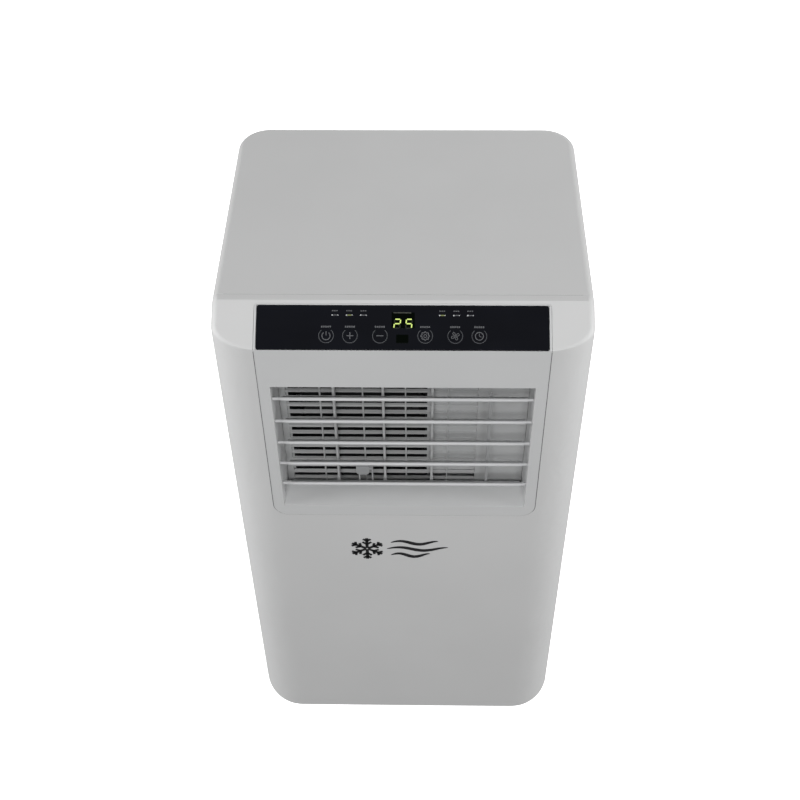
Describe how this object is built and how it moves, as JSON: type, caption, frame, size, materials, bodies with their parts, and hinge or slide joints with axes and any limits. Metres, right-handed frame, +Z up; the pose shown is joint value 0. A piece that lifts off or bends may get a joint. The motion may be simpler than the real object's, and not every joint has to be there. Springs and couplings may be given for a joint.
{
  "type": "portable air conditioner",
  "caption": "Upright portable air conditioner on casters: sloped control panel, front outlet with level louvres and upright vanes, back grilles, round hose port, side grips.",
  "frame": {"origin": "on the floor under the middle of the casing, at the centre of the bounding box's lower face", "axes": "+X from the machine's left to its right seen from the front, +Y to the back, +Z up"},
  "size_m": [0.33, 0.293, 0.67],
  "materials": {
    "shell_white": "satin light grey-white moulded casing",
    "bezel_white": "satin light grey-white moulding",
    "louvre_white": "smooth satin moulding",
    "black_lens": "smoked gloss acrylic",
    "dark_plastic": "matt dark moulding",
    "display": "seven-segment module",
    "light_guide": "clear bars",
    "circuit_board": "green laminate",
    "filter_mesh": "fine nylon screen in a frame",
    "grey_plastic": "plain inner moulding",
    "fins": "fin stack",
    "copper": "drawn copper tube",
    "steel": "zinc plated",
    "black_steel": "black enamel",
    "rubber": "matt",
    "caster_tread": "matt"
  },
  "bodies": {
    "root": {"front_casing": "shell_white", "rear_casing": "shell_white", "top_cover": "shell_white", "outlet_bezel": "bezel_white", "outlet_guard": "louvre_white", "control_lens": "black_lens", "display_board": "circuit_board", "display_module": "display", "ir_receiver": "dark_plastic", "indicator_light_guides": "light_guide", "base_pan": "black_steel", "left_handle": "shell_white", "right_handle": "shell_white", "exhaust_collar": "shell_white", "cord_gland": "rubber", "compressor_grommets": "rubber", "casing_screws": "steel", "drain_tray": "grey_plastic", "condenser_fan_housing": "grey_plastic", "control_box": "grey_plastic", "blower_housing": "dark_plastic", "evaporator_coil": "fins", "condenser_coil": "fins", "blower_motor": "steel", "condenser_fan_motor": "steel", "splash_motor": "steel", "compressor": "black_steel", "suction_pipe": "copper", "discharge_pipe": "copper", "capillary_tube": "copper", "main_board": "circuit_board"},
    "louvre_1": {"louvre_1": "louvre_white"},
    "louvre_2": {"louvre_2": "louvre_white"},
    "louvre_3": {"louvre_3": "louvre_white"},
    "louvre_4": {"louvre_4": "louvre_white"},
    "louvre_5": {"louvre_5": "louvre_white"},
    "louvre_link": {"louvre_link": "louvre_white"},
    "vane_1": {"vane_1": "louvre_white"},
    "vane_2": {"vane_2": "louvre_white"},
    "vane_3": {"vane_3": "louvre_white"},
    "vane_link": {"vane_link": "louvre_white"},
    "caster_fork_front_left": {"caster_fork_front_left": "dark_plastic"},
    "caster_wheel_front_left": {"caster_wheel_front_left": "caster_tread"},
    "caster_fork_front_right": {"caster_fork_front_right": "dark_plastic"},
    "caster_wheel_front_right": {"caster_wheel_front_right": "caster_tread"},
    "caster_fork_back_left": {"caster_fork_back_left": "dark_plastic"},
    "caster_wheel_back_left": {"caster_wheel_back_left": "caster_tread"},
    "caster_fork_back_right": {"caster_fork_back_right": "dark_plastic"},
    "caster_wheel_back_right": {"caster_wheel_back_right": "caster_tread"},
    "blower_wheel": {"blower_wheel": "dark_plastic"},
    "condenser_fan_wheel": {"condenser_fan_wheel": "dark_plastic"},
    "splash_wheel": {"splash_wheel": "dark_plastic"},
    "float_switch": {"float_switch": "dark_plastic"},
    "upper_grille": {"upper_grille": "shell_white", "upper_filter": "filter_mesh"},
    "upper_drain_plug": {"upper_drain_plug": "rubber"},
    "lower_grille": {"lower_grille": "shell_white", "lower_filter": "filter_mesh"},
    "lower_drain_plug": {"lower_drain_plug": "rubber"}
  },
  "joints": [
    {"name": "louvre_1_tilt", "type": "hinge", "parent": "root", "child": "louvre_1", "pos_m": [0, -0.1395, 0.5783], "axis": [1, 0, 0], "range_deg": [-18, 57]},
    {"name": "louvre_2_tilt", "type": "hinge", "parent": "root", "child": "louvre_2", "pos_m": [0, -0.1395, 0.5487], "axis": [1, 0, 0], "range_deg": [-18, 57]},
    {"name": "louvre_3_tilt", "type": "hinge", "parent": "root", "child": "louvre_3", "pos_m": [0, -0.1395, 0.5191], "axis": [1, 0, 0], "range_deg": [-18, 57]},
    {"name": "louvre_4_tilt", "type": "hinge", "parent": "root", "child": "louvre_4", "pos_m": [0, -0.1395, 0.4895], "axis": [1, 0, 0], "range_deg": [-18, 57]},
    {"name": "louvre_5_tilt", "type": "hinge", "parent": "root", "child": "louvre_5", "pos_m": [0, -0.1395, 0.4599], "axis": [1, 0, 0], "range_deg": [-18, 57]},
    {"name": "louvre_link_pivot", "type": "hinge", "parent": "louvre_1", "child": "louvre_link", "pos_m": [0.0792, -0.13244, 0.57194], "axis": [1, 0, 0], "range_deg": [-57, 18]},
    {"name": "vane_1_swing", "type": "hinge", "parent": "root", "child": "vane_1", "pos_m": [-0.0644, -0.1175, 0.51755], "axis": [0, 0, 1], "range_deg": [-32, 32]},
    {"name": "vane_2_swing", "type": "hinge", "parent": "root", "child": "vane_2", "pos_m": [-0.0189, -0.1175, 0.51755], "axis": [0, 0, 1], "range_deg": [-32, 32]},
    {"name": "vane_3_swing", "type": "hinge", "parent": "root", "child": "vane_3", "pos_m": [0.0266, -0.1175, 0.51755], "axis": [0, 0, 1], "range_deg": [-32, 32]},
    {"name": "vane_link_pivot", "type": "hinge", "parent": "vane_1", "child": "vane_link", "pos_m": [-0.0644, -0.1245, 0.4421], "axis": [0, 0, 1], "range_deg": [-32, 32]},
    {"name": "caster_front_left_swivel", "type": "hinge", "parent": "root", "child": "caster_fork_front_left", "pos_m": [-0.102, -0.104, 0.045], "axis": [0, 0, 1], "continuous": true},
    {"name": "caster_front_left_roll", "type": "hinge", "parent": "caster_fork_front_left", "child": "caster_wheel_front_left", "pos_m": [-0.102, -0.093, 0.019], "axis": [1, 0, 0], "continuous": true},
    {"name": "caster_front_right_swivel", "type": "hinge", "parent": "root", "child": "caster_fork_front_right", "pos_m": [0.102, -0.104, 0.045], "axis": [0, 0, 1], "continuous": true},
    {"name": "caster_front_right_roll", "type": "hinge", "parent": "caster_fork_front_right", "child": "caster_wheel_front_right", "pos_m": [0.102, -0.093, 0.019], "axis": [1, 0, 0], "continuous": true},
    {"name": "caster_back_left_swivel", "type": "hinge", "parent": "root", "child": "caster_fork_back_left", "pos_m": [-0.102, 0.104, 0.045], "axis": [0, 0, 1], "continuous": true},
    {"name": "caster_back_left_roll", "type": "hinge", "parent": "caster_fork_back_left", "child": "caster_wheel_back_left", "pos_m": [-0.102, 0.115, 0.019], "axis": [1, 0, 0], "continuous": true},
    {"name": "caster_back_right_swivel", "type": "hinge", "parent": "root", "child": "caster_fork_back_right", "pos_m": [0.102, 0.104, 0.045], "axis": [0, 0, 1], "continuous": true},
    {"name": "caster_back_right_roll", "type": "hinge", "parent": "caster_fork_back_right", "child": "caster_wheel_back_right", "pos_m": [0.102, 0.115, 0.019], "axis": [1, 0, 0], "continuous": true},
    {"name": "blower_wheel_spin", "type": "hinge", "parent": "root", "child": "blower_wheel", "pos_m": [-0.04, 0.004, 0.505], "axis": [1, 0, 0], "continuous": true},
    {"name": "condenser_fan_wheel_spin", "type": "hinge", "parent": "root", "child": "condenser_fan_wheel", "pos_m": [0.018, 0.01, 0.29], "axis": [1, 0, 0], "continuous": true},
    {"name": "splash_wheel_spin", "type": "hinge", "parent": "root", "child": "splash_wheel", "pos_m": [-0.014, 0.062, 0.086], "axis": [1, 0, 0], "continuous": true},
    {"name": "float_rise", "type": "slide", "parent": "root", "child": "float_switch", "axis": [0, 0, 1], "range_m": [0, 0.012]},
    {"name": "upper_grille_pull", "type": "slide", "parent": "root", "child": "upper_grille", "axis": [0, 1, 0], "range_m": [0, 0.03]},
    {"name": "upper_drain_plug_pull", "type": "slide", "parent": "root", "child": "upper_drain_plug", "axis": [0, 1, 0], "range_m": [0, 0.02]},
    {"name": "lower_grille_pull", "type": "slide", "parent": "root", "child": "lower_grille", "axis": [0, 1, 0], "range_m": [0, 0.03]},
    {"name": "lower_drain_plug_pull", "type": "slide", "parent": "root", "child": "lower_drain_plug", "axis": [0, 1, 0], "range_m": [0, 0.02]}
  ],
  "couplings": [
    {"joint": "louvre_2_tilt", "follows": "louvre_1_tilt", "ratio": 1},
    {"joint": "louvre_3_tilt", "follows": "louvre_1_tilt", "ratio": 1},
    {"joint": "louvre_4_tilt", "follows": "louvre_1_tilt", "ratio": 1},
    {"joint": "louvre_5_tilt", "follows": "louvre_1_tilt", "ratio": 1},
    {"joint": "louvre_link_pivot", "follows": "louvre_1_tilt", "ratio": -1},
    {"joint": "vane_2_swing", "follows": "vane_1_swing", "ratio": 1},
    {"joint": "vane_3_swing", "follows": "vane_1_swing", "ratio": 1},
    {"joint": "vane_link_pivot", "follows": "vane_1_swing", "ratio": -1}
  ]
}
